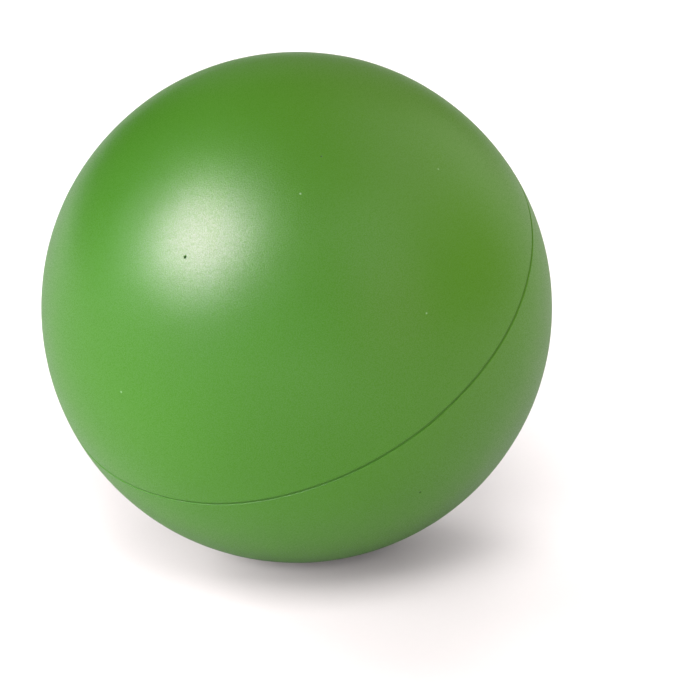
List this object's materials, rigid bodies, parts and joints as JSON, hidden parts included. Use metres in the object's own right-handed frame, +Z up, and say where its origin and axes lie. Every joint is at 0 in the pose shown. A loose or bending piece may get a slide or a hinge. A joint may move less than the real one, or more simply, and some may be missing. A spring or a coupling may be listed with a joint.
{
  "type": "stress ball",
  "caption": "Soft round stress ball: a moulded foam core in a green elastic coat made in two halves that meet at a fine seam; squeezed in the hand, it flattens and springs back.",
  "frame": {"origin": "the middle of the ball", "axes": "+Z is up as the ball lies at rest; the seam's plane leans 34.7 degrees from level, so that the mould's axis points up, towards -X and towards -Y, and the seam crosses the front"},
  "size_m": [0.063, 0.063, 0.063],
  "materials": {
    "foam": "matte",
    "coat": "satin",
    "flash": "matte"
  },
  "bodies": {
    "resting_side": {"foam_core": "foam", "lower_coat": "coat", "parting_flash": "flash"},
    "pressed_side": {"upper_coat": "coat"}
  },
  "joints": [
    {"name": "squeeze", "type": "slide", "parent": "resting_side", "child": "pressed_side", "axis": [0, 0, -1], "range_m": [0, 0.025], "stiffness_N_per_m": 2400, "deforming": ["upper_coat", "foam_core", "lower_coat", "parting_flash"]}
  ]
}
